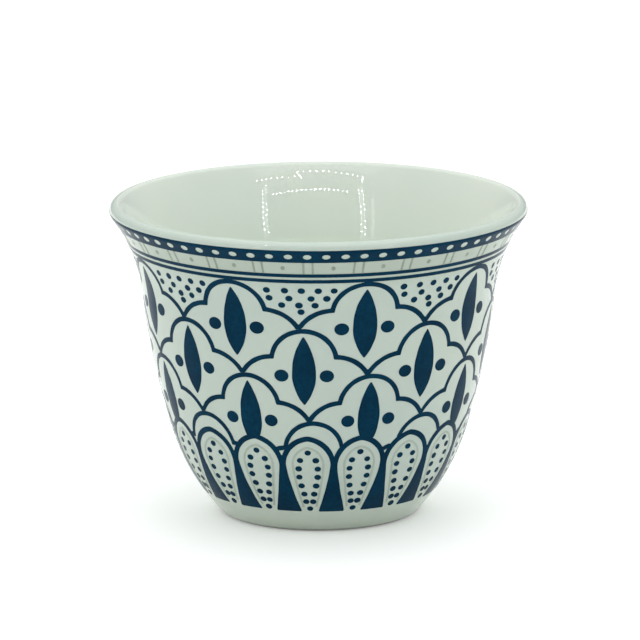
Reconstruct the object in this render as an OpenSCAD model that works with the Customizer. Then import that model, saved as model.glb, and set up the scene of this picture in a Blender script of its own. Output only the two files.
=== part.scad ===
// Small coffee cup without a handle: a thick porcelain bowl under a clear glaze, printed all round
// in cobalt blue and pale grey.
// Lengths are in millimetres and angles in degrees. The cup stands on the XY plane, its axis is Z,
// and azimuths are counted from the front, which is -Y, toward +X.
// A lean is the angle of the wall from upright. The outward normal at a lean points out and down.

/* [Cup] */
// Diameter over the lip
rim_diameter = 70; // [68:0.5:74]
// Height from the table to the top of the lip
cup_height = 52.8; // [52.4:0.1:54]
// Radius of the round lip, half the wall thickness
lip_radius = 1.17; // [1.1:0.01:1.25]
// Height at which the belly turns into the waist
belly_height = 14.7; // [14:0.1:16]
// Height at which the waist turns into the flare
waist_height = 37.8; // [37:0.1:39]
// Lean of the wall where it leaves the foot
foot_lean = 42; // [40:0.5:44]
// Lean of the wall at the top of the belly
belly_lean = 16.4; // [15:0.2:18]
// Lean of the wall at the waist
waist_lean = 6.6; // [6:0.1:7.2]
// Lean of the wall under the lip
flare_lean = 36.4; // [34:0.2:37]
// Thickness of the glaze
glaze = 0.2; // [0.15:0.01:0.25]

/* [Base] */
// Radius of the foot's outer corner
foot_rounding = 1.5; // [1.3:0.1:1.8]
// Lean on that corner at which the glaze stops
glaze_stop_lean = 60; // [55:1:65]
// Width of the flat that stands on the table
foot_flat = 1.8; // [1.4:0.1:2.2]
// Width of the slope from the flat up to the recess
foot_slope = 0.9; // [0.7:0.1:1.2]
// Depth of the recess inside the foot
recess_depth = 1.3; // [1:0.1:1.6]
// Height of the floor of the bowl
floor_height = 4.8; // [4.4:0.1:5.4]
// Radius from the floor of the bowl up into its wall
bowl_rounding = 8; // [7:0.5:9]

/* [Print] */
// Thickness of the printed ink
ink = 0.05; // [0.04:0.01:0.07]
// Clearance between the ink and the glaze under it
ink_clearance = 0.004; // [0.002:0.001:0.006]
// Width of the scallop lines
scallop_line = 0.8; // [0.7:0.05:0.9]
// Width of the grey lines
grey_line = 0.34; // [0.26:0.02:0.4]

/* [Rim band] */
// Upper edge of the blue band below the top of the lip
rim_band_drop = 1.2; // [1.2:0.05:1.4]
// Height of the blue band
rim_band_height = 2.25; // [2.1:0.05:2.4]
// Number of white ovals in the band
oval_count = 69; // [60:1:72]
// Azimuth of one oval
oval_azimuth = 2.1; // [-2.5:0.1:2.5]
// Centres of the ovals above the lower edge of the band
oval_rise = 1.1; // [1:0.05:1.2]
// Half width and half height of an oval
oval_half = [0.7, 0.45];

/* [Panels] */
// Height of the white band under the blue one
panel_height = 2.15; // [2:0.05:2.3]
// Number of panels in it
panel_count = 25; // [22:1:27]
// Azimuth of the middle of one pair of grey lines
panel_azimuth = -3; // [-7:0.2:7]
// Distance between the two lines of a pair
panel_pair = 1.5; // [1.3:0.1:1.7]
// Radius of a grey dot
panel_dot = 0.36; // [0.3:0.02:0.42]
// Height of a pinstripe
pinstripe = 0.62; // [0.56:0.02:0.68]
// White gap between the pinstripes
pinstripe_gap = 0.45; // [0.4:0.01:0.5]

/* [Scallops] */
// Share by which the scallop sheet is stretched at the front and gathered at the back
sheet_stretch = 0.065; // [0.05:0.005:0.08]
// Even azimuth of one scallop of the top row
row_azimuth = 13.95; // [11:0.05:17]
// Angle by which each row is turned on from the row above, besides half a scallop
row_drift = 1.35; // [0.5:0.05:1.6]
// Base line of the lowest row, half hidden by the petals, below their widest place
row_sink = 0.25; // [0.1:0.05:0.4]
// Radius of the small dots between the scallops of the top row
field_dot = 0.56; // [0.5:0.02:0.6]

/* [Petals] */
// Azimuth of one petal
petal_azimuth = -4.4; // [-9:0.2:9]
// Height of the lower edge of the border
petal_low = 4.25; // [4.15:0.05:4.4]
// Height at which a petal is widest
petal_waist = 13.3; // [13.2:0.05:13.4]
// Least width of the blue between two petals
petal_gap = 1.17; // [1.1:0.01:1.24]
// Half of a petal's width at the lower edge
petal_foot_half = 1.35; // [1.25:0.05:1.45]
// Length of its point above the widest place
petal_reach = 4.3; // [4.25:0.05:4.4]
// Width of the blue arch over a petal
petal_arch = 0.9; // [0.85:0.01:0.93]
// Lower end of the grey line inside a petal
petal_line_low = 5.2; // [5:0.1:5.4]

/* [Hidden] */
$fn = 180;

porcelain_tint = [0.9, 0.9, 0.87];
glaze_tint = [0.86, 0.9, 0.87];
blue = [0.03, 0.12, 0.27];
grey = [0.6, 0.64, 0.62];

// Wall profile: three arcs that run into each other, then the lip.
wall = 2 * lip_radius;
foot_round_top = foot_rounding * (1 - sin(foot_lean));
flare_top = cup_height - lip_radius * (1 + sin(flare_lean));
belly_arc = (belly_height - foot_round_top) / (sin(foot_lean) - sin(belly_lean));
waist_arc = (waist_height - belly_height) / (sin(belly_lean) - sin(waist_lean));
flare_arc = (flare_top - waist_height) / (sin(flare_lean) - sin(waist_lean));
flare_r = rim_diameter / 2 - lip_radius * (1 - cos(flare_lean));
waist_r = flare_r - flare_arc * (cos(waist_lean) - cos(flare_lean));
belly_r = waist_r - waist_arc * (cos(waist_lean) - cos(belly_lean));
foot_r = belly_r - belly_arc * (cos(belly_lean) - cos(foot_lean));
belly_c = [belly_r, belly_height] - belly_arc * normal(belly_lean);
waist_c = [belly_r, belly_height] - waist_arc * normal(belly_lean);
flare_c = [waist_r, waist_height] + flare_arc * normal(waist_lean);
lip_c = [rim_diameter / 2 - lip_radius, cup_height - lip_radius];
foot_c = [foot_r, foot_round_top] - foot_rounding * normal(foot_lean);
foot_inner = foot_c.x - foot_flat;

// The bowl's floor rounds up into the inside of the belly.
bowl_reach = belly_arc - wall - bowl_rounding;
bowl_lean = asin((belly_c.y - floor_height - bowl_rounding) / bowl_reach);
bowl_c = belly_c + bowl_reach * normal(bowl_lean);

// Flat outlines are pushed through the wall from well inside it to outside it.
press_near = rim_diameter / 8;
press_depth = rim_diameter / 2;

// Shapes of a scallop in its cell. Widths are shares of half the cell's width and heights are shares
// of the distance between rows, and both are counted from the middle of the row's base line.
lobe_shares = [0.503, 0.667];
lobe_rise_share = 0.296;
side_lobe_shares = [0.605, 0.802];
side_lobe_place_shares = [0.475, -0.395];
leaf_half_share = 0.188;
leaf_waist_share = 0.025;
leaf_reach_shares = [0.827, 0.66];
leaf_dot_place_share = 0.356;
leaf_dot_shares = [0.112, 0.128];

// Lines of small dots between the scallops of the top row: places of the dots as shares of half the
// cell's width from the middle of the field, and of each line as shares of a row below the pinstripes
field_place_shares = [[-0.446, -0.183, 0.056, 0.296, 0.521], [-0.418, -0.127, 0.192, 0.418],
                      [-0.239, 0.014, 0.249], [0.042]];
field_drop_shares = [0.173, 0.346, 0.494, 0.636];

// Shapes inside a petal: the grey line and the dots' radius as shares of half the petal's width, the
// dots' places from its middle as shares of the white inside the grey line, from the top down, and
// their heights as shares of the petal's height
petal_line_share = 0.742;
petal_dot_share = 0.133;
petal_dot_place_shares = [0, 0.57, 0.68, 0.72, 0.67, 0.55, 0.5, 0];
petal_dot_height_shares = [0.843, 0.738, 0.622, 0.506, 0.382, 0.262, 0.15, 0.045];

// How far a scallop's line reaches below its base line, as a share of the line's width, and how far
// the covers of the petals overlap, as a share of the arch's width
cusp_share = 1.2;
arch_overlap_share = 0.2;

// Counts, and factors without a unit
scallop_count = 9;
petal_count = 18;
petal_taper = 1.3;
degrees_per_radian = 180 / PI;
belly_steps = 9;
waist_steps = 7;
flare_steps = 9;
round_steps = 9;
lip_steps = 4;
lobe_steps = 36;
leaf_steps = 8;
oval_steps = 12;
arch_steps = 8;
side_steps = 6;

even_pitch = 360 / scallop_count;
petal_pitch = 360 / petal_count;
panel_pitch = 360 / panel_count;
rim_band_high = cup_height - rim_band_drop;
rim_band_low = rim_band_high - rim_band_height;
pinstripe_high = rim_band_low - panel_height;
panel_dot_height = pinstripe_high + panel_height / 2;
pinstripe_low = pinstripe_high - 2 * pinstripe - pinstripe_gap;
row_count = 3;
row_pitch = (pinstripe_low - scallop_line / 2 - petal_waist + row_sink)
    / (row_count + lobe_shares.y + lobe_rise_share);
cell_half = wall_radius((pinstripe_low + petal_waist) / 2) * (1 + sheet_stretch) * PI / scallop_count;
cusp_drop = cusp_share * scallop_line;
petal_half = wall_radius(petal_waist) * PI / petal_count - petal_gap / 2;
petal_offset = (pow(petal_reach, 2) - pow(petal_half, 2)) / (2 * petal_half);
arch_half = petal_half + petal_arch;
arch_r = arch_half + petal_offset;
arch_radius = wall_radius(petal_waist + petal_reach / 2);
arch_overlap = arch_overlap_share * petal_arch;
petal_height = petal_waist + petal_reach - petal_low;

function normal(lean) = [cos(lean), -sin(lean)];

// Radius of the glazed wall at a height
function wall_radius(z) =
    z < belly_height ? belly_c.x + sqrt(pow(belly_arc, 2) - pow(z - belly_c.y, 2)) :
    z < waist_height ? waist_c.x + sqrt(pow(waist_arc, 2) - pow(z - waist_c.y, 2)) :
    z < flare_top ? flare_c.x - sqrt(pow(flare_arc, 2) - pow(z - flare_c.y, 2)) :
    lip_c.x + sqrt(max(0, pow(lip_radius, 2) - pow(z - lip_c.y, 2)));

// Lean of the glazed wall at a height below the lip
function wall_lean(z) =
    z < belly_height ? asin((belly_c.y - z) / belly_arc) :
    z < waist_height ? asin((waist_c.y - z) / waist_arc) :
    asin((z - flare_c.y) / flare_arc);

// Angle about the axis that a length along the wall takes up at a height
function turn_of(length, z) = length / wall_radius(z) * degrees_per_radian;

// A point given by its turn from a motif's middle and its height, seen along the motif's radius
function seen(turn, z) = [wall_radius(z) * sin(turn), z];

// The azimuth at which an even azimuth of the scallop sheet comes to lie
function laid(turn) = turn + sheet_stretch * degrees_per_radian * sin(turn);

// A point of the scallop sheet given by shares of a cell, seen along its scallop's radius
function sheet(row, copy, p) =
    let (middle = row_middle(row, copy))
    seen(laid(middle + p.x * even_pitch / 2) - laid(middle), row_base(row) + p.y * row_pitch);

// Even azimuth of a scallop, and height of its base line
function row_middle(row, copy) = row_azimuth + row * (row_drift + even_pitch / 2) + copy * even_pitch;
function row_base(row) = petal_waist - row_sink + (row_count - row) * row_pitch;

// Half width of a petal's white, or of a shape set inside it by a share and a cut
function petal_side(z, share, cut) =
    let (half = share * petal_half - cut, foot_half = share * petal_foot_half - cut)
    z > petal_waist ? sqrt(pow(half + petal_offset, 2) - pow(z - petal_waist, 2)) - petal_offset :
    half - (half - foot_half) * pow((petal_waist - z) / (petal_waist - petal_low), petal_taper);

// Height of the blue arches over a turn from a petal's middle
function arch_top(turn) =
    let (out = abs(turn) / degrees_per_radian * arch_radius)
    petal_waist + sqrt(max(0, pow(arch_r, 2) - pow(out + petal_offset, 2)));

// Points along an arc between two leans, without the first one; side is -1 for the hollow flare
function arc(c, r, from, to, steps, side = 1) =
    [for (i = [1:steps]) c + side * r * normal(from + (to - from) * i / steps)];

// The outside of the wall, from above the foot up to the lip, at a depth counted outward from the glaze
function outside(depth) = concat(
    arc(belly_c, belly_arc + depth, foot_lean, belly_lean, belly_steps),
    arc(waist_c, waist_arc + depth, belly_lean, waist_lean, waist_steps),
    arc(flare_c, flare_arc - depth, waist_lean, flare_lean, flare_steps, -1));

// The outer face of the lip, up to its widest place
function lip_side(depth) = arc(lip_c, lip_radius + depth, flare_lean, 0, lip_steps);

// The whole round lip, from outside to inside
function over_lip(depth) = concat(
    lip_side(depth),
    arc(lip_c, lip_radius + depth, 0, -90, round_steps),
    arc(lip_c, lip_radius + depth, -90, flare_lean - 180, lip_steps));

// The inside of the wall, from the lip down to the middle of the floor
function inside(depth) = concat(
    arc(flare_c, flare_arc + wall - depth, flare_lean, waist_lean, flare_steps, -1),
    arc(waist_c, waist_arc - wall + depth, waist_lean, belly_lean, waist_steps),
    arc(belly_c, belly_arc - wall + depth, belly_lean, bowl_lean, belly_steps),
    arc(bowl_c, bowl_rounding + depth, bowl_lean, 90, round_steps),
    [[0, floor_height - depth]]);

// The foot's outer corner, upward from the lean at which the glaze stops
function corner(depth) = concat(
    [foot_c + (foot_rounding + depth) * normal(glaze_stop_lean)],
    arc(foot_c, foot_rounding + depth, glaze_stop_lean, foot_lean, round_steps));

function backward(points) = [for (i = [len(points) - 1:-1:0]) points[i]];

// The outline of a petal's white, or of a shape set inside it
function petal_outline(share, cut, low) =
    let (r = share * petal_half - cut + petal_offset)
    let (reach = sqrt(pow(r, 2) - pow(petal_offset, 2)))
    let (right = concat(
        [for (i = [0:side_steps - 1]) let (z = low + (petal_waist - low) * i / side_steps)
            [petal_side(z, share, cut), z]],
        [for (i = [0:arch_steps - 1]) let (a = atan2(reach, petal_offset) * i / arch_steps)
            [r * cos(a) - petal_offset, petal_waist + r * sin(a)]]))
    concat(right, [[0, petal_waist + reach]], [for (p = backward(right)) [-p.x, p.y]]);

// A ring of ink on the wall between two heights
module ink_ring(low, high) {
    rotate_extrude() intersection() {
        polygon(concat(
            backward(concat(outside(ink_clearance), lip_side(ink_clearance))),
            outside(ink_clearance + ink), lip_side(ink_clearance + ink)));
        translate([0, low]) square([rim_diameter, high - low]);
    }
}

// A flat outline pushed through the wall at an azimuth
module press(azimuth) {
    rotate([90, 0, azimuth]) translate([0, 0, press_near]) linear_extrude(press_depth) children();
}

// An oval outline at a height
module oval(z, half) {
    polygon([for (i = [0:oval_steps - 1]) let (a = 360 * i / oval_steps)
        seen(turn_of(half.x * cos(a), z), z + half.y * sin(a))]);
}

// A small round dot of ink lying on the wall
module spot(azimuth, z, radius) {
    rotate([0, 0, azimuth]) translate([0, -wall_radius(z), z]) rotate([90 + wall_lean(z), 0, 0])
        translate([0, 0, ink_clearance]) cylinder(ink, radius, radius);
}

// A disc on the scallop sheet, grown by a length
module sheet_disc(row, copy, place, shares, grow) {
    r = shares + [grow / cell_half, grow / row_pitch];
    polygon([for (i = [0:lobe_steps - 1]) let (a = 360 * i / lobe_steps)
        sheet(row, copy, place + [r.x * cos(a), r.y * sin(a)])]);
}

// A small oval on the scallop sheet
module sheet_oval(row, copy, place, shares) {
    polygon([for (i = [0:oval_steps - 1]) let (a = 360 * i / oval_steps)
        sheet(row, copy, place + [shares.x * cos(a), shares.y * sin(a)])]);
}

// The three lobes of a scallop, grown or shrunk from the middle of its line
module trefoil(row, copy, grow) {
    sheet_disc(row, copy, [0, lobe_rise_share], lobe_shares, grow);
    for (side = [-1, 1]) {
        place = [side * side_lobe_place_shares.x, side_lobe_place_shares.y];
        sheet_disc(row, copy, place, side_lobe_shares, grow);
    }
}

// The line of one scallop, ending on the lobes of the next row
module scallop(row, copy) {
    drift_share = 2 * row_drift / even_pitch;
    ends_share = cusp_drop / row_pitch;
    below_share = side_lobe_shares.y - side_lobe_place_shares.y + ends_share;
    beside_share = side_lobe_shares.x + side_lobe_place_shares.x + ends_share;
    difference() {
        trefoil(row, copy, scallop_line / 2);
        trefoil(row, copy, -scallop_line / 2);
        for (side = [-1, 1]) {
            next = [side + drift_share, lobe_rise_share - 1];
            sheet_disc(row, copy, next, lobe_shares, scallop_line / 2);
        }
        polygon([for (p = [[-beside_share, -below_share], [beside_share, -below_share],
            [beside_share, -ends_share], [-beside_share, -ends_share]]) sheet(row, copy, p)]);
    }
}

module scallop_row(row, high) {
    color(blue) intersection() {
        ink_ring(row_base(row) - cusp_drop, high);
        for (copy = [0:scallop_count - 1]) {
            press(laid(row_middle(row, copy))) scallop(row, copy);
        }
    }
}

// Everything that the petals and their arches cover
module petal_covers() {
    half_turn = petal_pitch / 2 + turn_of(arch_overlap, petal_waist);
    for (copy = [0:petal_count - 1]) {
        press(petal_azimuth + copy * petal_pitch) polygon(concat(
            [for (i = [-arch_steps:arch_steps]) let (turn = half_turn * i / arch_steps)
                seen(turn, arch_top(turn))],
            [seen(half_turn, 0), seen(-half_turn, 0)]));
    }
}

// A petal's white, or a shape set inside it
module petal_shape(share, cut, low) {
    polygon([for (p = petal_outline(share, cut, low)) seen(turn_of(p.x, p.y), p.y)]);
}

module leaf(row, copy) {
    half = leaf_half_share * cell_half;
    polygon([for (side = [1, -1], i = [0:leaf_steps - 1]) let (
        rise = side * (1 - 2 * i / leaf_steps),
        reach_share = rise > 0 ? leaf_reach_shares[0] : leaf_reach_shares[1],
        reach = reach_share * row_pitch,
        r = (pow(half, 2) + pow(reach, 2)) / (2 * half),
        out = half - r + sqrt(pow(r, 2) - pow(rise * reach, 2)))
        sheet(row, copy, [side * out / cell_half, leaf_waist_share + rise * reach_share])]);
}

module porcelain_body() {
    color(porcelain_tint) rotate_extrude() polygon(concat(
        [[0, recess_depth], [foot_inner - foot_slope, recess_depth], [foot_inner, 0], [foot_c.x, 0]],
        arc(foot_c, foot_rounding, 90, glaze_stop_lean, round_steps),
        corner(-glaze),
        outside(-glaze),
        over_lip(-glaze),
        inside(glaze)));
}

module glaze_coat() {
    color(glaze_tint) rotate_extrude() polygon(concat(
        corner(0), outside(0), over_lip(0), inside(0),
        backward(concat(corner(-glaze), outside(-glaze), over_lip(-glaze), inside(glaze)))));
}

module foot_glaze() {
    rim = foot_inner - foot_slope * (recess_depth - glaze) / recess_depth;
    color(glaze_tint) rotate_extrude() polygon([
        [0, recess_depth - glaze], [rim, recess_depth - glaze],
        [foot_inner - foot_slope, recess_depth], [0, recess_depth]]);
}

module rim_band() {
    color(blue) difference() {
        ink_ring(rim_band_low, rim_band_high);
        for (copy = [0:oval_count - 1]) {
            press(oval_azimuth + copy * 360 / oval_count) oval(rim_band_low + oval_rise, oval_half);
        }
    }
}

module panel_lines() {
    color(grey) intersection() {
        ink_ring(pinstripe_high, rim_band_low);
        for (copy = [0:panel_count - 1], side = [-1, 1]) {
            press(panel_azimuth + copy * panel_pitch + side * turn_of(panel_pair / 2, panel_dot_height))
                translate([-grey_line / 2, pinstripe_low])
                    square([grey_line, rim_band_high - pinstripe_low]);
        }
    }
}

module panel_dots() {
    color(grey) for (copy = [0:panel_count - 1]) {
        spot(panel_azimuth + panel_pitch / 2 + copy * panel_pitch, panel_dot_height, panel_dot);
    }
}

module pinstripe_upper() {
    color(blue) ink_ring(pinstripe_high - pinstripe, pinstripe_high);
}

module pinstripe_lower() {
    color(blue) ink_ring(pinstripe_low, pinstripe_low + pinstripe);
}

module field_dots() {
    color(blue) for (copy = [0:scallop_count - 1], line = [0:len(field_drop_shares) - 1]) {
        middle = row_middle(0, copy) + even_pitch / 2;
        z = pinstripe_low - field_drop_shares[line] * row_pitch;
        for (place = field_place_shares[line]) {
            spot(laid(middle + place * even_pitch / 2), z, field_dot);
        }
    }
}

module scallops_top() {
    scallop_row(0, pinstripe_low);
}

module scallops_middle() {
    scallop_row(1, row_base(0));
}

module scallops_lower() {
    scallop_row(2, row_base(1));
}

module scallop_arches() {
    difference() {
        scallop_row(3, row_base(2));
        petal_covers();
    }
}

module scallop_leaves() {
    color(blue) difference() {
        intersection() {
            ink_ring(petal_waist, pinstripe_low);
            for (row = [0:row_count - 1], copy = [0:scallop_count - 1]) {
                press(laid(row_middle(row, copy))) leaf(row, copy);
            }
        }
        petal_covers();
    }
}

module leaf_dots() {
    color(blue) intersection() {
        ink_ring(petal_waist, pinstripe_low);
        for (row = [0:row_count - 1], copy = [0:scallop_count - 1], side = [-1, 1]) {
            press(laid(row_middle(row, copy)))
                sheet_oval(row, copy, [side * leaf_dot_place_share, 0], leaf_dot_shares);
        }
    }
}

module petal_border() {
    color(blue) difference() {
        intersection() {
            ink_ring(petal_low, petal_waist + petal_reach + 2 * petal_arch);
            petal_covers();
        }
        for (copy = [0:petal_count - 1]) {
            press(petal_azimuth + copy * petal_pitch) petal_shape(1, 0, petal_low - petal_arch);
        }
    }
}

module petal_outlines() {
    color(grey) intersection() {
        ink_ring(petal_line_low, petal_waist + petal_reach);
        for (copy = [0:petal_count - 1]) {
            press(petal_azimuth + copy * petal_pitch) difference() {
                petal_shape(petal_line_share, 0, petal_low);
                petal_shape(petal_line_share, grey_line, petal_low - grey_line);
            }
        }
    }
}

module petal_dots() {
    color(blue) for (copy = [0:petal_count - 1], line = [0:len(petal_dot_place_shares) - 1]) {
        z = petal_low + petal_dot_height_shares[line] * petal_height;
        place = petal_dot_place_shares[line];
        turn = turn_of(place * petal_side(z, petal_line_share, grey_line), z);
        for (side = place > 0 ? [-1, 1] : [1]) {
            spot(petal_azimuth + copy * petal_pitch + side * turn, z, petal_dot_share * petal_half);
        }
    }
}

porcelain_body();
glaze_coat();
foot_glaze();
rim_band();
panel_lines();
panel_dots();
pinstripe_upper();
pinstripe_lower();
field_dots();
scallops_top();
scallops_middle();
scallops_lower();
scallop_arches();
scallop_leaves();
leaf_dots();
petal_border();
petal_outlines();
petal_dots();
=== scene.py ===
"""Looks of a small glazed porcelain coffee cup with a cobalt print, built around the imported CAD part.

The cup is worked out in millimetres, and its points become metres where the meshes are made. Materials
and the stage are in metres. Angles are in degrees. Azimuths are counted from the front, -Y, toward +X.
A lean is the angle of the wall from upright. A depth is counted outward from the glaze's face.
"""

import math

import bpy
import numpy as np
from mathutils import Matrix, Vector


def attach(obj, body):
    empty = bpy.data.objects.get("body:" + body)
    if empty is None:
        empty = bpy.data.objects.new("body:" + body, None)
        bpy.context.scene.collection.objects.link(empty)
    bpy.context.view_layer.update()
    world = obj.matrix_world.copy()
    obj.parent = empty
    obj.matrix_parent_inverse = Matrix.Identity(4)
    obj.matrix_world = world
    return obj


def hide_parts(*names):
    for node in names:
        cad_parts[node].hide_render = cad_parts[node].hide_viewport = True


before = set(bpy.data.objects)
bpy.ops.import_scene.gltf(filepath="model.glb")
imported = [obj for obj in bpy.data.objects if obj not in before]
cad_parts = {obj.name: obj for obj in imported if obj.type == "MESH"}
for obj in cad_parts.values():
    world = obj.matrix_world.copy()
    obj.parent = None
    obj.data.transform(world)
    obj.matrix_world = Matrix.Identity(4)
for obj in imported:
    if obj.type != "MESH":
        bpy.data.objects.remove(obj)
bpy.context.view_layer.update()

MM = 0.001
DEGREES = 180 / math.pi

# Wall of the cup
RIM_RADIUS = 35
CUP_HEIGHT = 52.8
LIP_RADIUS = 1.17
BELLY_HEIGHT = 14.7
WAIST_HEIGHT = 37.8
FOOT_LEAN, BELLY_LEAN, WAIST_LEAN, FLARE_LEAN = 42, 16.4, 6.6, 36.4
GLAZE = 0.2
FOOT_ROUNDING = 1.5
GLAZE_STOP_LEAN = 60
FOOT_FLAT = 1.8
FOOT_SLOPE = 0.9
FOOT_BEVEL = 0.15
RECESS_DEPTH = 1.3
FLOOR_HEIGHT = 4.8
BOWL_ROUNDING = 8
WALL = 2 * LIP_RADIUS

# The glaze in the foot's recess: half as thick in the middle, full at its edge. Places are in thicknesses.
FOOT_GLAZE_STEPS = ((6, 0.5), (3, 0.7), (0, 1))

# The print stands this far out of the glaze, and its underside is sunk this far into it.
PRINT_RISE = 0.03
PRINT_SINK = 0.03

# Rim band, panels and pinstripes
RIM_BAND_HIGH = CUP_HEIGHT - 1.2
RIM_BAND_LOW = RIM_BAND_HIGH - 2.25
OVAL_COUNT = 69
OVAL_AZIMUTH = 2.1
OVAL_HEIGHT = RIM_BAND_LOW + 1.1
OVAL_HALF = (0.7, 0.45)
PINSTRIPE_HIGH = RIM_BAND_LOW - 2.15
PINSTRIPE = 0.62
PINSTRIPE_GAP = 0.45
PINSTRIPE_LOW = PINSTRIPE_HIGH - 2 * PINSTRIPE - PINSTRIPE_GAP
PANEL_COUNT = 25
PANEL_AZIMUTH = -3
PANEL_PAIR = 1.5
PANEL_DOT_HEIGHT = (PINSTRIPE_HIGH + RIM_BAND_LOW) / 2
PANEL_DOT = 0.36
GREY_LINE = 0.34

# Scallops. A cell is half a scallop wide and one row high; shares are of a cell.
SCALLOP_COUNT = 9
ROW_COUNT = 3
EVEN_PITCH = 360 / SCALLOP_COUNT
SHEET_STRETCH = 0.065
ROW_AZIMUTH = 13.95
ROW_DRIFT = 1.35
ROW_SINK = 0.25
SCALLOP_LINE = 0.8
CUSP_DROP = 1.2 * SCALLOP_LINE
LOBE_SHARES = (0.503, 0.667)
LOBE_RISE_SHARE = 0.296
SIDE_LOBE_SHARES = (0.605, 0.802)
SIDE_LOBE_PLACE_SHARES = (0.475, -0.395)
LEAF_HALF_SHARE = 0.188
LEAF_WAIST_SHARE = 0.025
LEAF_UP_SHARE, LEAF_DOWN_SHARE = 0.827, 0.66
LEAF_DOT_PLACE_SHARE = 0.356
LEAF_DOT_SHARES = (0.112, 0.128)

# The dots between the top scallops, row by row: places across a cell, and drops from the pinstripe
FIELD_PLACE_SHARES = (
    (-0.446, -0.183, 0.056, 0.296, 0.521),
    (-0.418, -0.127, 0.192, 0.418),
    (-0.239, 0.014, 0.249),
    (0.042,),
)
FIELD_DROP_SHARES = (0.173, 0.346, 0.494, 0.636)
FIELD_DOT_HALF = (0.6, 0.5)

# Petals
PETAL_COUNT = 18
PETAL_AZIMUTH = -4.4
PETAL_PITCH = 360 / PETAL_COUNT
PETAL_LOW = 4.25
PETAL_WAIST = 13.3
PETAL_REACH = 4.3
PETAL_LINE_LOW = 5.2
PETAL_GAP = 1.17
PETAL_FOOT_HALF = 1.35
PETAL_ARCH = 0.9
PETAL_TAPER = 1.3
PETAL_LINE_SHARE = 0.742
PETAL_DOT_SHARES = (0.147, 0.128)
PETAL_DOT_PLACE_SHARES = (0, 0.57, 0.68, 0.72, 0.67, 0.55, 0.5, 0)
PETAL_DOT_HEIGHT_SHARES = (0.843, 0.738, 0.622, 0.506, 0.382, 0.262, 0.15, 0.045)

# Unevenness of the print, in millimetres along edges and in shares of the sizes of dots and grey lines
OVAL_WAVER, PETAL_WAVER, SCALLOP_WAVER, LEAF_WAVER = 0.03, 0.03, 0.035, 0.04
DOT_WAVER_SHARE, LEAF_DOT_WAVER_SHARE, GREY_WAVER_SHARE = 0.07, 0.04, 0.12
# Seeds that keep the unevenness of one motif from following that of another
GREY_SEED, PETAL_SEED, FIELD_SEED, OVAL_SEED, LEAF_DOT_SEED, PETAL_DOT_SEED, LEAF_SEED = 2, 3, 4, 5, 6, 7, 8
# Height counts three times in the size of a dot, so that dots one above another differ.
DOT_HEIGHT_FACTOR = 3
# Waves that add up to the unevenness: how many go round the cup, and radians per millimetre up and per seed
WAVES = ((23, 0.83, 1.7), (41, -1.31, 2.9), (67, 2.17, 0.6))

# Mesh steps
AROUND = 384
COLUMNS = 960
ROW_STEP = 0.21
DOT_STEPS = 24
STRIPE_ROWS = 3
PANEL_LINE_ROWS = 7
PETAL_SIDE_STEPS, PETAL_POINT_STEPS = 20, 16
BELLY_STEPS, WAIST_STEPS, FLARE_STEPS, LIP_STEPS = 14, 12, 16, 24
INNER_BELLY_STEPS, BOWL_STEPS = 7, 14
FOOT_STEPS, FOOT_UNDER_STEPS = 6, 8
BOWL_FLOOR_RADII = (9, 5, 2, 0)
EDGE_MARGIN = 0.04
SHARP_ANGLE = 50
NUDGE = 1e-6
TINY = 1e-12


def sin(angle):
    return np.sin(np.radians(angle))


def cos(angle):
    return np.cos(np.radians(angle))


def normal(lean):
    """The outward normal of the wall, (out, up), at a lean."""
    return np.array([cos(lean), -sin(lean)])


# Wall profile: three arcs that run into each other, then the lip
FOOT_ROUND_TOP = FOOT_ROUNDING * (1 - sin(FOOT_LEAN))
FLARE_TOP = CUP_HEIGHT - LIP_RADIUS * (1 + sin(FLARE_LEAN))
BELLY_ARC = (BELLY_HEIGHT - FOOT_ROUND_TOP) / (sin(FOOT_LEAN) - sin(BELLY_LEAN))
WAIST_ARC = (WAIST_HEIGHT - BELLY_HEIGHT) / (sin(BELLY_LEAN) - sin(WAIST_LEAN))
FLARE_ARC = (FLARE_TOP - WAIST_HEIGHT) / (sin(FLARE_LEAN) - sin(WAIST_LEAN))
FLARE_R = RIM_RADIUS - LIP_RADIUS * (1 - cos(FLARE_LEAN))
WAIST_R = FLARE_R - FLARE_ARC * (cos(WAIST_LEAN) - cos(FLARE_LEAN))
BELLY_R = WAIST_R - WAIST_ARC * (cos(WAIST_LEAN) - cos(BELLY_LEAN))
FOOT_R = BELLY_R - BELLY_ARC * (cos(BELLY_LEAN) - cos(FOOT_LEAN))
BELLY_C = np.array([BELLY_R, BELLY_HEIGHT]) - BELLY_ARC * normal(BELLY_LEAN)
WAIST_C = np.array([BELLY_R, BELLY_HEIGHT]) - WAIST_ARC * normal(BELLY_LEAN)
FLARE_C = np.array([WAIST_R, WAIST_HEIGHT]) + FLARE_ARC * normal(WAIST_LEAN)
LIP_C = np.array([RIM_RADIUS - LIP_RADIUS, CUP_HEIGHT - LIP_RADIUS])
FOOT_C = np.array([FOOT_R, FOOT_ROUND_TOP]) - FOOT_ROUNDING * normal(FOOT_LEAN)
FOOT_INNER = FOOT_C[0] - FOOT_FLAT
BOWL_REACH = BELLY_ARC - WALL - BOWL_ROUNDING
BOWL_LEAN = math.degrees(math.asin((BELLY_C[1] - FLOOR_HEIGHT - BOWL_ROUNDING) / BOWL_REACH))
BOWL_C = BELLY_C + BOWL_REACH * normal(BOWL_LEAN)


def wall_lean(z):
    """Lean of the outer wall at heights above the foot."""
    sine = np.select(
        [z < BELLY_HEIGHT, z < WAIST_HEIGHT, z < FLARE_TOP],
        [(BELLY_C[1] - z) / BELLY_ARC, (WAIST_C[1] - z) / WAIST_ARC, (z - FLARE_C[1]) / FLARE_ARC],
        (LIP_C[1] - z) / LIP_RADIUS,
    )
    return np.degrees(np.arcsin(np.clip(sine, -1, 1)))


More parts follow.
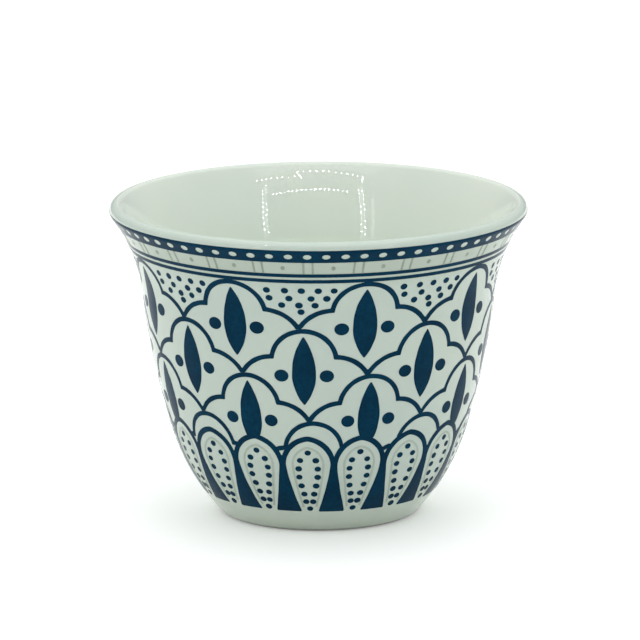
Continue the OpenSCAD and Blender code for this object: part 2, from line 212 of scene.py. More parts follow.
def wall_radius(z):
    """Radius of the outer wall at heights above the foot."""
    out = cos(wall_lean(z))
    return np.select(
        [z < BELLY_HEIGHT, z < WAIST_HEIGHT, z < FLARE_TOP],
        [BELLY_C[0] + BELLY_ARC * out, WAIST_C[0] + WAIST_ARC * out, FLARE_C[0] - FLARE_ARC * out],
        LIP_C[0] + LIP_RADIUS * out,
    )


def turn_of(length, z):
    """Angle about the axis that a length along the wall takes up at a height."""
    return length / wall_radius(z) * DEGREES


# Everything derived from the wall
ROWS_HIGH = ROW_COUNT + LOBE_SHARES[1] + LOBE_RISE_SHARE
ROW_PITCH = (PINSTRIPE_LOW - SCALLOP_LINE / 2 - PETAL_WAIST + ROW_SINK) / ROWS_HIGH
MIDDLE_HEIGHT = (PINSTRIPE_LOW + PETAL_WAIST) / 2
CELL_HALF = float(wall_radius(MIDDLE_HEIGHT)) * (1 + SHEET_STRETCH) * math.pi / SCALLOP_COUNT
PETAL_HALF = float(wall_radius(PETAL_WAIST)) * math.pi / PETAL_COUNT - PETAL_GAP / 2
PETAL_OFFSET = (PETAL_REACH**2 - PETAL_HALF**2) / (2 * PETAL_HALF)
ARCH_R = PETAL_HALF + PETAL_ARCH + PETAL_OFFSET
ARCH_RADIUS = float(wall_radius(PETAL_WAIST + PETAL_REACH / 2))


def laid(turn):
    """The azimuth at which an even azimuth of the scallop sheet comes to lie."""
    return turn + SHEET_STRETCH * DEGREES * sin(turn)


def near(turn, first, pitch):
    """Turn from the nearest of the copies that are a pitch apart."""
    return (turn - first + pitch / 2) % pitch - pitch / 2


def row_middle(row):
    return ROW_AZIMUTH + row * (ROW_DRIFT + EVEN_PITCH / 2)


def row_base(row):
    return PETAL_WAIST - ROW_SINK + (ROW_COUNT - row) * ROW_PITCH


def waver(turn, z, seed):
    """A smooth unevenness between about -1 and 1, the same on each run."""
    a = np.radians(turn)
    waves = [np.sin(around * a + up * z + shift * seed) for around, up, shift in WAVES]
    return sum(waves) / len(WAVES)


def dot_size(turn, z, share, seed):
    """A dot's size, as a factor close to 1."""
    return 1 + share * float(waver(turn, DOT_HEIGHT_FACTOR * z, seed))


# Meshes


def place(turn, z, depth):
    """Points of the wall, in metres, at azimuths and heights and a depth."""
    lean = wall_lean(z)
    r = wall_radius(z) + depth * cos(lean)
    up = z - depth * sin(lean)
    return np.stack([r * sin(turn), -r * cos(turn), up], axis=-1) * MM


def wall_normal(turn, z):
    lean = wall_lean(z)
    return np.stack([cos(lean) * sin(turn), -cos(lean) * cos(turn), -sin(lean)], axis=-1)


def finish_piece(mesh, name, material):
    """Makes a mesh a piece of the cup, in the place of the CAD node with its name."""
    obj = bpy.data.objects.new(name + "_look", mesh)
    bpy.context.scene.collection.objects.link(obj)
    mesh.materials.append(material)
    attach(obj, "root")
    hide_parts(name)
    return obj


def thin_print(name, points, faces, material):
    """A closed layer of ink on the wall. Points are (azimuth, height), faces run anticlockwise."""
    points = np.asarray(points, dtype=float)
    turn, z = points[:, 0], points[:, 1]
    count = len(points)
    edges = dict.fromkeys(edge for face in faces for edge in zip(face, face[1:] + face[:1]))
    rims = [edge for edge in edges if (edge[1], edge[0]) not in edges]
    below = [tuple(i + count for i in reversed(face)) for face in faces]
    sides = [(a, a + count, b + count, b) for a, b in rims]
    verts = np.concatenate([place(turn, z, PRINT_RISE), place(turn, z, -PRINT_SINK)])
    mesh = bpy.data.meshes.new(name)
    mesh.from_pydata(verts.tolist(), [], faces + below + sides)
    mesh.update()
    out = wall_normal(turn, z)
    loops = [out[list(face)] for face in faces]
    loops += [-out[[i - count for i in face]] for face in below]
    for a, a_low, b_low, b in sides:
        side = np.cross(verts[a_low] - verts[a], verts[b_low] - verts[a_low])
        loops.append(np.tile(side / max(np.linalg.norm(side), TINY), (4, 1)))
    mesh.shade_smooth()
    mesh.normals_split_custom_set(np.concatenate(loops).tolist())
    return finish_piece(mesh, name, material)


class Sheet:
    """Collects the points and faces of one print."""

    def __init__(self):
        self.points = []
        self.faces = []

    def grid(self, turn, z):
        """Adds a sheet of quads; the arrays run to the right along their columns and up along their rows."""
        start = len(self.points)
        rows, columns = turn.shape
        self.points += list(zip(turn.ravel(), z.ravel()))
        for j in range(rows - 1):
            for i in range(columns - 1):
                a = start + j * columns + i
                self.faces.append((a, a + 1, a + columns + 1, a + columns))

    def ring(self, low, high, rows):
        """Adds a closed ring between two heights."""
        start = len(self.points)
        turns = np.arange(AROUND) * 360 / AROUND
        for z in np.linspace(low, high, rows + 1):
            self.points += [(t, z) for t in turns]
        for j in range(rows):
            for i in range(AROUND):
                a = start + j * AROUND + i
                b = start + j * AROUND + (i + 1) % AROUND
                self.faces.append((a, b, b + AROUND, a + AROUND))

    def dot(self, turn, z, half):
        """Adds an oval dot: a fan with a ring of quads round it."""
        start = len(self.points)
        angles = np.arange(DOT_STEPS) * 360 / DOT_STEPS
        self.points.append((turn, z))
        for share in (0.5, 1):
            up = z + share * half[1] * sin(angles)
            out = turn + turn_of(share * half[0] * cos(angles), up)
            self.points += list(zip(out, up))
        for i in range(DOT_STEPS):
            a = start + 1 + i
            b = start + 1 + (i + 1) % DOT_STEPS
            self.faces.append((start, a, b))
            self.faces.append((a, a + DOT_STEPS, b + DOT_STEPS, b))

    def cells(self, field, low, high, to_azimuth):
        """Adds the part of the wall on which a field is positive, cut out of a fine grid."""
        rows = int(math.ceil((high - low) / ROW_STEP))
        z_line = np.linspace(low, high, rows + 1)
        t_line = np.arange(COLUMNS) * 360 / COLUMNS
        value = field(*np.meshgrid(t_line, z_line, indexing="ij"))
        value = np.where(np.abs(value) < NUDGE, -NUDGE, value)
        ids = {}
        points = self.points

        def corner(i, j):
            key = (i % COLUMNS, j)
            if key not in ids:
                ids[key] = len(points)
                points.append((to_azimuth(t_line[i % COLUMNS]), z_line[j]))
            return ids[key]

        def crossing(here, there):
            """The point on the edge between two corners at which the field is zero."""
            (i, j), (k, m) = sorted((here, there))
            key = (i % COLUMNS, j, k % COLUMNS, m)
            if key not in ids:
                a, b = value[i % COLUMNS, j], value[k % COLUMNS, m]
                t = min(max(a / (a - b), EDGE_MARGIN), 1 - EDGE_MARGIN)
                turn_at = (i + (k - i) * t) * 360 / COLUMNS
                ids[key] = len(points)
                points.append((to_azimuth(turn_at), z_line[j] + (z_line[m] - z_line[j]) * t))
            return ids[key]

        inside = value > 0
        after = np.roll(inside, -1, axis=0)
        count = inside[:, :-1].astype(int) + inside[:, 1:] + after[:, :-1] + after[:, 1:]
        for i, j in np.argwhere(count > 0).tolist():
            ring = ((i, j), (i + 1, j), (i + 1, j + 1), (i, j + 1))
            face = []
            for here, there in zip(ring, ring[1:] + ring[:1]):
                here_in = inside[here[0] % COLUMNS, here[1]]
                if here_in:
                    face.append(corner(*here))
                if here_in != inside[there[0] % COLUMNS, there[1]]:
                    face.append(crossing(here, there))
            self.faces.append(tuple(face))

    def piece(self, name, material):
        return thin_print(name, self.points, self.faces, material)


def revolve(name, profile, material):
    """A closed solid of revolution from (radius, height) points in millimetres, anticlockwise."""
    angles = np.arange(AROUND) * 2 * math.pi / AROUND
    verts, rings = [], []
    for r, z in profile:
        rings.append(len(verts))
        around = angles if r else angles[:1]
        verts += [(r * MM * math.sin(a), -r * MM * math.cos(a), z * MM) for a in around]
    at_pole = [r == 0 for r, z in profile]
    faces = []
    for k, (start, after) in enumerate(zip(rings, rings[1:] + rings[:1])):
        low_pole = at_pole[k]
        high_pole = at_pole[(k + 1) % len(profile)]
        if low_pole and high_pole:
            continue
        for i in range(AROUND):
            j = (i + 1) % AROUND
            if low_pole:
                faces.append((start, after + j, after + i))
            elif high_pole:
                faces.append((start + i, start + j, after))
            else:
                faces.append((start + i, start + j, after + j, after + i))
    mesh = bpy.data.meshes.new(name)
    mesh.from_pydata(verts, [], faces)
    mesh.update()
    mesh.shade_smooth()
    mesh.set_sharp_from_angle(angle=math.radians(SHARP_ANGLE))
    return finish_piece(mesh, name, material)


def arc(centre, r, start, end, steps, side=1):
    """Points along an arc between two leans, without the first one."""
    leans = [start + (end - start) * i / steps for i in range(1, steps + 1)]
    return [tuple(centre + side * r * normal(lean)) for lean in leans]


def outside(depth):
    return (
        arc(BELLY_C, BELLY_ARC + depth, FOOT_LEAN, BELLY_LEAN, BELLY_STEPS)
        + arc(WAIST_C, WAIST_ARC + depth, BELLY_LEAN, WAIST_LEAN, WAIST_STEPS)
        + arc(FLARE_C, FLARE_ARC - depth, WAIST_LEAN, FLARE_LEAN, FLARE_STEPS, -1)
    )


def over_lip(depth):
    return arc(LIP_C, LIP_RADIUS + depth, FLARE_LEAN, FLARE_LEAN - 180, LIP_STEPS)


def inside_wall(depth):
    """The wall from the lip down to the middle of the bowl's floor, at a depth counted into the wall."""
    return (
        arc(FLARE_C, FLARE_ARC + WALL - depth, FLARE_LEAN, WAIST_LEAN, FLARE_STEPS, -1)
        + arc(WAIST_C, WAIST_ARC - WALL + depth, WAIST_LEAN, BELLY_LEAN, WAIST_STEPS)
        + arc(BELLY_C, BELLY_ARC - WALL + depth, BELLY_LEAN, BOWL_LEAN, INNER_BELLY_STEPS)
        + arc(BOWL_C, BOWL_ROUNDING + depth, BOWL_LEAN, 90, BOWL_STEPS)
        + [(r, FLOOR_HEIGHT - depth) for r in BOWL_FLOOR_RADII]
    )


def foot_corner(depth):
    """The foot's outer corner, from where the glaze stops."""
    r = FOOT_ROUNDING + depth
    start = [tuple(FOOT_C + r * normal(GLAZE_STOP_LEAN))]
    return start + arc(FOOT_C, r, GLAZE_STOP_LEAN, FOOT_LEAN, FOOT_STEPS)


def under_glaze():
    """The face that the glaze coat lies on."""
    return foot_corner(-GLAZE) + outside(-GLAZE) + over_lip(-GLAZE) + inside_wall(GLAZE)


# Materials


def srgb(red, green, blue):
    """A linear colour from 0 to 255 values as they show on a screen."""
    values = [v / 255 for v in (red, green, blue)]
    return [v / 12.92 if v <= 0.04045 else ((v + 0.055) / 1.055) ** 2.4 for v in values] + [1.0]


class Nodes:
    """A short way to build a material's node tree."""

    def __init__(self, name):
        self.material = bpy.data.materials.new(name)
        self.material.use_nodes = True
        self.tree = self.material.node_tree
        self.shader = self.tree.nodes["Principled BSDF"]
        self.where = self.tree.nodes.new("ShaderNodeTexCoord").outputs["Object"]

    def new(self, kind, **inputs):
        node = self.tree.nodes.new(kind)
        for key, value in inputs.items():
            self.feed(node.inputs[key.replace("_", " ")], value)
        return node

    def feed(self, socket, value):
        """Links a socket, or sets its value."""
        if isinstance(value, bpy.types.NodeSocket):
            self.tree.links.new(value, socket)
        else:
            socket.default_value = value

    def part(self, vector, axis):
        """One coordinate of a vector."""
        return self.new("ShaderNodeSeparateXYZ", Vector=vector).outputs[axis]

    def noise(self, scale, detail=2.0, rough=0.5):
        """Noise between 0 and 1, with its scale in features per metre."""
        node = self.new("ShaderNodeTexNoise", Vector=self.where, Scale=scale, Detail=detail, Roughness=rough)
        return node.outputs["Fac"]

    def span(self, value, low, high, to_low, to_high):
        """Turns one span of values into another, and holds it at the ends."""
        sizes = {"From Min": low, "From Max": high, "To Min": to_low, "To Max": to_high}
        node = self.tree.nodes.new("ShaderNodeMapRange")
        self.tree.links.new(value, node.inputs["Value"])
        for name, size in sizes.items():
            node.inputs[name].default_value = size
        return node.outputs["Result"]

    def math(self, operation, first, second):
        return self.combine("ShaderNodeMath", operation, first, second).outputs["Value"]

    def vector(self, operation, first, second, result="Vector"):
        return self.combine("ShaderNodeVectorMath", operation, first, second).outputs[result]

    def combine(self, kind, operation, first, second):
        node = self.tree.nodes.new(kind)
        node.operation = operation
        self.feed(node.inputs[0], first)
        self.feed(node.inputs[1], second)
        return node

    def mix(self, factor, first, second):
        node = self.tree.nodes.new("ShaderNodeMix")
        node.data_type = "RGBA"
        sockets = [node.inputs[0]] + [s for s in node.inputs if s.type == "RGBA"]
        for socket, value in zip(sockets, (factor, first, second)):
            self.feed(socket, value)
        return [s for s in node.outputs if s.type == "RGBA"][0]

    def bump(self, height, strength, distance, under=None):
        node = self.new("ShaderNodeBump", Height=height, Strength=strength, Distance=distance)
        if under is not None:
            self.tree.links.new(under, node.inputs["Normal"])
        return node.outputs["Normal"]

    def set(self, name, value):
        self.feed(self.shader.inputs[name], value)


# Colours
# Painted light: the inside whites are painted lighter and the outside whites darker and cooler, as painted
# shade and bounce light
LIT_INSIDE_WHITE = srgb(225, 233, 221)
LIT_INSIDE_COOL = srgb(220, 230, 220)
SHADED_OUTSIDE_WHITE = srgb(205, 218, 206)
SHADED_OUTSIDE_COOL = srgb(200, 215, 205)
# Painted shade: a greyer white for the band of panels on the flare
PANEL_SHADE_WHITE = srgb(188, 201, 187)
# Pooled glaze, also painted lighter as painted bounce light near the foot
POOLED_AND_BOUNCE_LIT = srgb(221, 232, 215)
# Painted shadow where the foot meets the table
FOOT_CONTACT_SHADOW = srgb(92, 98, 80)
SPECK = srgb(96, 92, 78)
BARE_WHITE = srgb(214, 212, 200)
BARE_GREY = srgb(186, 184, 172)
COBALT = srgb(0, 46, 70)
COBALT_THIN = srgb(0, 59, 85)
PALE_GREY = srgb(146, 158, 145)
PALE_GREY_THIN = srgb(166, 178, 164)
FAINT_GREY = srgb(179, 192, 180)
FAINT_GREY_THIN = srgb(190, 203, 191)
FLOOR_COLOUR = srgb(232, 235, 233)
WHITE = (1, 1, 1, 1)
BLACK = (0, 0, 0, 1)

# The middle of a noise's values, where its features are
NOISE_LOW, NOISE_HIGH = 0.3, 0.7
GLASS_IOR = 1.5

# Glaze. Scales are per metre, heights and distances in metres.
CLOUD_SCALE, CLOUD_LOW, CLOUD_HIGH = 45, 0.35, 0.65
OUTER_TURN = 0.003
# Heights of the painted shade on the band of panels
PANEL_START, PANEL_FULL, PANEL_FADE, PANEL_STOP = 0.044, 0.047, 0.0495, 0.051
# Heights of the pooled glaze and its painted bounce light
POOL_AND_BOUNCE_TOP, POOL_AND_BOUNCE_FULL, POOL_AND_BOUNCE_SHARE = 0.011, 0.002, 0.75
# Heights of the painted contact shadow at the glaze's lower edge
GLAZE_EDGE_TOP, GLAZE_EDGE_FULL, GLAZE_EDGE_SHARE = 0.0006, 0.0002, 0.7
SPECK_SCALE, SPECK_RADIUS, SPECK_RARITY = 95, 0.018, 0.8
GLAZE_ROUGH_SCALE, GLAZE_SMOOTH, GLAZE_ROUGH = 160, 0.012, 0.03
DEPTH_WEIGHT, DEPTH_RADIUS, DEPTH_SCALE = 0.12, (1.0, 0.95, 0.85), 0.0012
GLAZE_WAVE_SCALE, GLAZE_WAVE_STRENGTH, WAVE_HEIGHT = 110, 0.06, 0.0001
GLAZE_PIT_SCALE, GLAZE_PIT_STRENGTH, GLAZE_PIT_HEIGHT = 520, 0.03, 0.00002

# Bare porcelain
GRAIN_SCALE, GRAIN_ROUGH, GRAIN_STRENGTH, GRAIN_HEIGHT = 2600, 0.7, 0.5, 0.00006
WORN_SCALE, WORN_ROUGH, WORN_LOW, WORN_HIGH = 220, 0.65, 0.4, 0.68
BARE_SMOOTH, BARE_ROUGH = 0.62, 0.9
# Heights of the painted contact shadow on the bare foot
CONTACT_SHADOW_TOP, CONTACT_SHADOW_FULL, CONTACT_SHADOW_SHARE = 0.0006, 0.0001, 0.85

# Fired ink
MOTTLE_SCALE, MOTTLE_ROUGH, PATCH_SCALE = 1500, 0.6, 190
MOTTLE_LOW, MOTTLE_HIGH = 0.16, 0.46
INK_ROUGH_SCALE, INK_ROUGH_FACTOR = 240, 2.2
INK_SHINE = 0.04
INK_WAVE_SCALE, INK_WAVE_STRENGTH = 120, 0.2
INK_GRAIN_SCALE, INK_GRAIN_STRENGTH, INK_GRAIN_HEIGHT = 2200, 0.1, 0.00001
COBALT_ROUGHNESS, GREY_ROUGHNESS = 0.05, 0.06


# Mask for the painted shade on the outside of the cup and on the band of panels
def outer_share(n):
    """1 where the wall faces away from the axis, 0 inside the bowl."""
    surface = n.tree.nodes.new("ShaderNodeNewGeometry").outputs
    level_place = n.vector("MULTIPLY", surface["Position"], (1, 1, 0))
    facing = n.vector("DOT_PRODUCT", surface["Normal"], level_place, "Value")
    return n.span(facing, -OUTER_TURN, OUTER_TURN, 0, 1)


def glazed_porcelain(name):
    n = Nodes(name)
    height = n.part(n.where, "Z")
    cloud = n.span(n.noise(CLOUD_SCALE, 3), CLOUD_LOW, CLOUD_HIGH, 0, 1)
    # Painted shade: the outside is painted a little darker and cooler than the inside. This stands in for the
    # brighter light inside the bowl and the greener bounce from the floor outside.
    outer = outer_share(n)
    warm = n.mix(outer, LIT_INSIDE_WHITE, SHADED_OUTSIDE_WHITE)
    cool = n.mix(outer, LIT_INSIDE_COOL, SHADED_OUTSIDE_COOL)
    colour = n.mix(cloud, warm, cool)
    # Painted shade: the white band of panels, on the flare that leans out and faces down, is painted greyer
    # to stand in for the shade it gets there.
    from_below = n.span(height, PANEL_START, PANEL_FULL, 0, 1)
    from_above = n.span(height, PANEL_FADE, PANEL_STOP, 1, 0)
    panels = n.math("MULTIPLY", from_below, from_above)
    colour = n.mix(n.math("MULTIPLY", panels, outer), colour, PANEL_SHADE_WHITE)
    # Glaze runs down while it is fired, so it is thicker near the foot and on the floor of the bowl. Its
    # colour there is also painted lighter, as painted light for the bounce from the table onto the foot.
    pool_and_bounce = n.span(height, POOL_AND_BOUNCE_TOP, POOL_AND_BOUNCE_FULL, 0, POOL_AND_BOUNCE_SHARE)
    colour = n.mix(pool_and_bounce, colour, POOLED_AND_BOUNCE_LIT)
    # Painted shadow: it is darkened into a thin line just over the table, where the contact shadow falls.
    edge = n.span(height, GLAZE_EDGE_TOP, GLAZE_EDGE_FULL, 0, GLAZE_EDGE_SHARE)
    colour = n.mix(edge, colour, FOOT_CONTACT_SHADOW)
    # A few iron specks, in one cell out of several
    cells = n.new("ShaderNodeTexVoronoi", Vector=n.where, Scale=SPECK_SCALE)
    near_speck = n.math("LESS_THAN", cells.outputs["Distance"], SPECK_RADIUS)
    chosen = n.math("GREATER_THAN", n.part(cells.outputs["Color"], "X"), SPECK_RARITY)
    colour = n.mix(n.math("MULTIPLY", near_speck, chosen), colour, SPECK)
    n.set("Base Color", colour)
    n.set("Roughness", n.span(n.noise(GLAZE_ROUGH_SCALE), NOISE_LOW, NOISE_HIGH, GLAZE_SMOOTH, GLAZE_ROUGH))
    n.set("IOR", GLASS_IOR)
    n.set("Subsurface Weight", DEPTH_WEIGHT)
    n.set("Subsurface Radius", DEPTH_RADIUS)
    n.set("Subsurface Scale", DEPTH_SCALE)
    wavy = n.bump(n.noise(GLAZE_WAVE_SCALE, 1), GLAZE_WAVE_STRENGTH, WAVE_HEIGHT)
    n.set("Normal", n.bump(n.noise(GLAZE_PIT_SCALE), GLAZE_PIT_STRENGTH, GLAZE_PIT_HEIGHT, wavy))
    return n.material


def bare_porcelain(name):
    n = Nodes(name)
    grain = n.noise(GRAIN_SCALE, 4, GRAIN_ROUGH)
    worn = n.span(n.noise(WORN_SCALE, 4, WORN_ROUGH), WORN_LOW, WORN_HIGH, 0, 1)
    # Painted shadow: the foot's lowest edge is darkened where it meets the table, standing in for the contact
    # shadow.
    contact_shadow = n.span(n.part(n.where, "Z"), CONTACT_SHADOW_TOP, CONTACT_SHADOW_FULL, 0, CONTACT_SHADOW_SHARE)
    n.set("Base Color", n.mix(contact_shadow, n.mix(worn, BARE_WHITE, BARE_GREY), FOOT_CONTACT_SHADOW))
    n.set("Roughness", n.span(grain, NOISE_LOW, NOISE_HIGH, BARE_SMOOTH, BARE_ROUGH))
    n.set("Normal", n.bump(grain, GRAIN_STRENGTH, GRAIN_HEIGHT))
    return n.material


def fired_ink(name, full, thin, roughness):
    n = Nodes(name)
    mottle = n.math("MULTIPLY", n.noise(MOTTLE_SCALE, 3, MOTTLE_ROUGH), n.noise(PATCH_SCALE))
    n.set("Base Color", n.mix(n.span(mottle, MOTTLE_LOW, MOTTLE_HIGH, 0, 1), full, thin))
    patches = n.noise(INK_ROUGH_SCALE)
    n.set("Roughness", n.span(patches, NOISE_LOW, NOISE_HIGH, roughness, INK_ROUGH_FACTOR * roughness))
    n.set("IOR", GLASS_IOR)
    n.set("Specular IOR Level", INK_SHINE)
    wavy = n.bump(n.noise(INK_WAVE_SCALE, 1), INK_WAVE_STRENGTH, WAVE_HEIGHT)
    n.set("Normal", n.bump(n.noise(INK_GRAIN_SCALE), INK_GRAIN_STRENGTH, INK_GRAIN_HEIGHT, wavy))
    return n.material


porcelain = bare_porcelain("bare_porcelain")
glaze_look = glazed_porcelain("glazed_porcelain")
cobalt = fired_ink("cobalt_print", COBALT, COBALT_THIN, COBALT_ROUGHNESS)
pale_grey = fired_ink("grey_print", PALE_GREY, PALE_GREY_THIN, GREY_ROUGHNESS)
faint_grey = fired_ink("faint_grey_print", FAINT_GREY, FAINT_GREY_THIN, GREY_ROUGHNESS)


# The cup


def build_porcelain():
    foot_ring = [
        (0, RECESS_DEPTH),
        (FOOT_INNER - FOOT_SLOPE, RECESS_DEPTH),
        (FOOT_INNER - FOOT_BEVEL, FOOT_BEVEL),
        (FOOT_INNER + FOOT_BEVEL, 0),
        (FOOT_C[0], 0),
    ]
    bare_corner = arc(FOOT_C, FOOT_ROUNDING, 90, GLAZE_STOP_LEAN, FOOT_UNDER_STEPS)
    revolve("porcelain_body", foot_ring + bare_corner + under_glaze(), porcelain)


def build_glaze():
    face = foot_corner(0) + outside(0) + over_lip(0) + inside_wall(0)
    revolve("glaze_coat", face + under_glaze()[::-1], glaze_look)


def build_foot_glaze():
    edge = FOOT_INNER - FOOT_SLOPE * (RECESS_DEPTH - GLAZE) / RECESS_DEPTH
    face = [(edge - inward * GLAZE, RECESS_DEPTH - share * GLAZE) for inward, share in FOOT_GLAZE_STEPS]
    middle = [(0, face[0][1])]
    ceiling = [(FOOT_INNER - FOOT_SLOPE, RECESS_DEPTH), (0, RECESS_DEPTH)]
    revolve("foot_glaze", middle + face + ceiling, glaze_look)


# Fields of the print: positive where there is ink, in millimetres to its edge


def band_field(turn, z):
    out = near(turn, OVAL_AZIMUTH, 360 / OVAL_COUNT) / DEGREES * wall_radius(z)
    oval = np.hypot(out / OVAL_HALF[0], (z - OVAL_HEIGHT) / OVAL_HALF[1])
    outside_oval = (oval - 1) * OVAL_HALF[1] + OVAL_WAVER * waver(turn, z, OVAL_SEED)
    return np.minimum(np.minimum(z - RIM_BAND_LOW, RIM_BAND_HIGH - z), outside_oval)


def petal_cover(azimuth, z):
    """Positive under the arches of the petals."""
    out = np.abs(near(azimuth, PETAL_AZIMUTH, PETAL_PITCH)) / DEGREES * ARCH_RADIUS
    rise = np.maximum(z - PETAL_WAIST, 0)
    return np.where(z < PETAL_WAIST, PETAL_ARCH, ARCH_R - np.hypot(out + PETAL_OFFSET, rise))


def petal_side(z, share=1.0, cut=0.0):
    """Half width, below the waist, of a petal's white or of a shape set inside it."""
    half = share * PETAL_HALF - cut
    foot_half = share * PETAL_FOOT_HALF - cut
    drop = np.maximum(PETAL_WAIST - z, 0) / (PETAL_WAIST - PETAL_LOW)
    low = half - (half - foot_half) * drop**PETAL_TAPER
    point = np.sqrt(np.maximum((half + PETAL_OFFSET) ** 2 - (z - PETAL_WAIST) ** 2, 0)) - PETAL_OFFSET
    return np.where(z < PETAL_WAIST, low, point)


def border_field(turn, z):
    out = np.abs(near(turn, PETAL_AZIMUTH, PETAL_PITCH)) / DEGREES * wall_radius(z)
    rise = np.maximum(z - PETAL_WAIST, 0)
    point = PETAL_HALF + PETAL_OFFSET - np.hypot(out + PETAL_OFFSET, rise)
    white = np.where(z < PETAL_WAIST, petal_side(z) - out, point)
    beside_white = -white + PETAL_WAVER * waver(turn, z, PETAL_SEED)
    return np.minimum(np.minimum(petal_cover(turn, z), beside_white), z - PETAL_LOW)


def scallop_place(row, turn, z):
    """Shares of a cell, counted from the base line of the nearest scallop of a row."""
    return near(turn, row_middle(row), EVEN_PITCH) / (EVEN_PITCH / 2), (z - row_base(row)) / ROW_PITCH


def lobe_field(x, y, centre, shares, grow):
    """Positive inside a lobe that is grown by a length."""
    half = shares[0] + grow / CELL_HALF
    high = shares[1] + grow / ROW_PITCH
    return (1 - np.hypot((x - centre[0]) / half, (y - centre[1]) / high)) * high * ROW_PITCH


def trefoil_field(x, y, grow):
    """Positive inside the three lobes of a scallop."""
    middle = lobe_field(x, y, (0, LOBE_RISE_SHARE), LOBE_SHARES, grow)
    return np.maximum(middle, lobe_field(np.abs(x), y, SIDE_LOBE_PLACE_SHARES, SIDE_LOBE_SHARES, grow))


def scallop_field(row, turn, z):
    """The line round the scallops of a row, as far as the row below and the petals leave it free."""
    x, y = scallop_place(row, turn, z)
    grow = SCALLOP_LINE / 2 + SCALLOP_WAVER * waver(turn, z, row)
    next_x, next_y = scallop_place(row + 1, turn, z)
    ahead = lobe_field(next_x, next_y, (0, LOBE_RISE_SHARE), LOBE_SHARES, SCALLOP_LINE / 2)
    line = np.minimum(trefoil_field(x, y, grow), -trefoil_field(x, y, -grow))
    line = np.minimum(line, -ahead)
    line = np.minimum(line, y * ROW_PITCH + CUSP_DROP)
    line = np.minimum(line, PINSTRIPE_LOW - z)
    if row < ROW_COUNT:
        return line
    return np.minimum(line, -petal_cover(laid(turn), z))


def leaf_field(row, turn, z):
    x, y = scallop_place(row, turn, z)
    half = LEAF_HALF_SHARE * CELL_HALF
    rise = (y - LEAF_WAIST_SHARE) * ROW_PITCH
    reach = np.where(rise > 0, LEAF_UP_SHARE, LEAF_DOWN_SHARE) * ROW_PITCH
    r = (half**2 + reach**2) / (2 * half)
    out = half - r + np.sqrt(np.maximum(r**2 - rise**2, 0)) + LEAF_WAVER * waver(turn, z, row + LEAF_SEED)
    leaf = np.minimum(out - np.abs(x) * CELL_HALF, reach - np.abs(rise))
    return np.minimum(leaf, -petal_cover(laid(turn), z))


# The print


def build_rim():
    band = Sheet()
    band.cells(band_field, RIM_BAND_LOW - ROW_STEP, RIM_BAND_HIGH + ROW_STEP, lambda turn: turn)
    band.piece("rim_band", cobalt)
    for name, low in (("pinstripe_upper", PINSTRIPE_HIGH - PINSTRIPE), ("pinstripe_lower", PINSTRIPE_LOW)):
        stripe = Sheet()
        stripe.ring(low, low + PINSTRIPE, STRIPE_ROWS)
        stripe.piece(name, cobalt)


def build_panels():
    lines = Sheet()
    dots = Sheet()
    z = np.linspace(PINSTRIPE_HIGH, RIM_BAND_LOW, PANEL_LINE_ROWS)[:, None] + np.zeros((1, 3))
    for copy in range(PANEL_COUNT):
        middle = PANEL_AZIMUTH + copy * 360 / PANEL_COUNT
        for side in (-1, 1):
            turn = middle + side * float(turn_of(PANEL_PAIR / 2, PANEL_DOT_HEIGHT))
            width = GREY_LINE * (1 + GREY_WAVER_SHARE * waver(turn, z, GREY_SEED))
            lines.grid(turn + turn_of(np.array([[-0.5, 0, 0.5]]) * width, z), z)
        dots.dot(middle + 180 / PANEL_COUNT, PANEL_DOT_HEIGHT, (PANEL_DOT, PANEL_DOT))
    lines.piece("panel_lines", pale_grey)
    dots.piece("panel_dots", pale_grey)


def build_field_dots():
    dots = Sheet()
    for copy in range(SCALLOP_COUNT):
        middle = row_middle(0) + (copy + 0.5) * EVEN_PITCH
        for shares, drop in zip(FIELD_PLACE_SHARES, FIELD_DROP_SHARES):
            z = PINSTRIPE_LOW - drop * ROW_PITCH
            for share in shares:
                turn = float(laid(middle + share * EVEN_PITCH / 2))
                size = dot_size(turn, z, DOT_WAVER_SHARE, FIELD_SEED)
                dots.dot(turn, z, (FIELD_DOT_HALF[0] * size, FIELD_DOT_HALF[1] * size))
    dots.piece("field_dots", cobalt)


def build_scallops():
    for row, name in enumerate(("scallops_top", "scallops_middle", "scallops_lower", "scallop_arches")):
        low = row_base(row) - CUSP_DROP - ROW_STEP
        high = min(row_base(row) + ROW_PITCH + 2 * ROW_STEP, PINSTRIPE_LOW + ROW_STEP)
        scallops = Sheet()
        scallops.cells(lambda turn, z: scallop_field(row, turn, z), low, high, laid)
        scallops.piece(name, cobalt)


def build_leaves():
    leaves = Sheet()
    dots = Sheet()
    for row in range(ROW_COUNT):
        base = row_base(row)
        low = base - LEAF_DOWN_SHARE * ROW_PITCH - ROW_STEP
        leaves.cells(lambda turn, z: leaf_field(row, turn, z), low, base + ROW_PITCH, laid)
        narrow = float(wall_radius(base) / wall_radius(MIDDLE_HEIGHT))
        for copy in range(SCALLOP_COUNT):
            for side in (-1, 1):
                middle = row_middle(row) + copy * EVEN_PITCH
                turn = float(laid(middle + side * LEAF_DOT_PLACE_SHARE * EVEN_PITCH / 2))
                size = dot_size(turn, base, LEAF_DOT_WAVER_SHARE, LEAF_DOT_SEED)
                half = (LEAF_DOT_SHARES[0] * CELL_HALF * narrow * size, LEAF_DOT_SHARES[1] * ROW_PITCH * size)
                dots.dot(turn, base, half)
    leaves.piece("scallop_leaves", cobalt)
    dots.piece("leaf_dots", cobalt)


def build_border():
    high = PETAL_WAIST + PETAL_REACH + 2 * PETAL_ARCH
    border = Sheet()
    border.cells(border_field, PETAL_LOW - ROW_STEP, high, lambda turn: turn)
    border.piece("petal_border", cobalt)


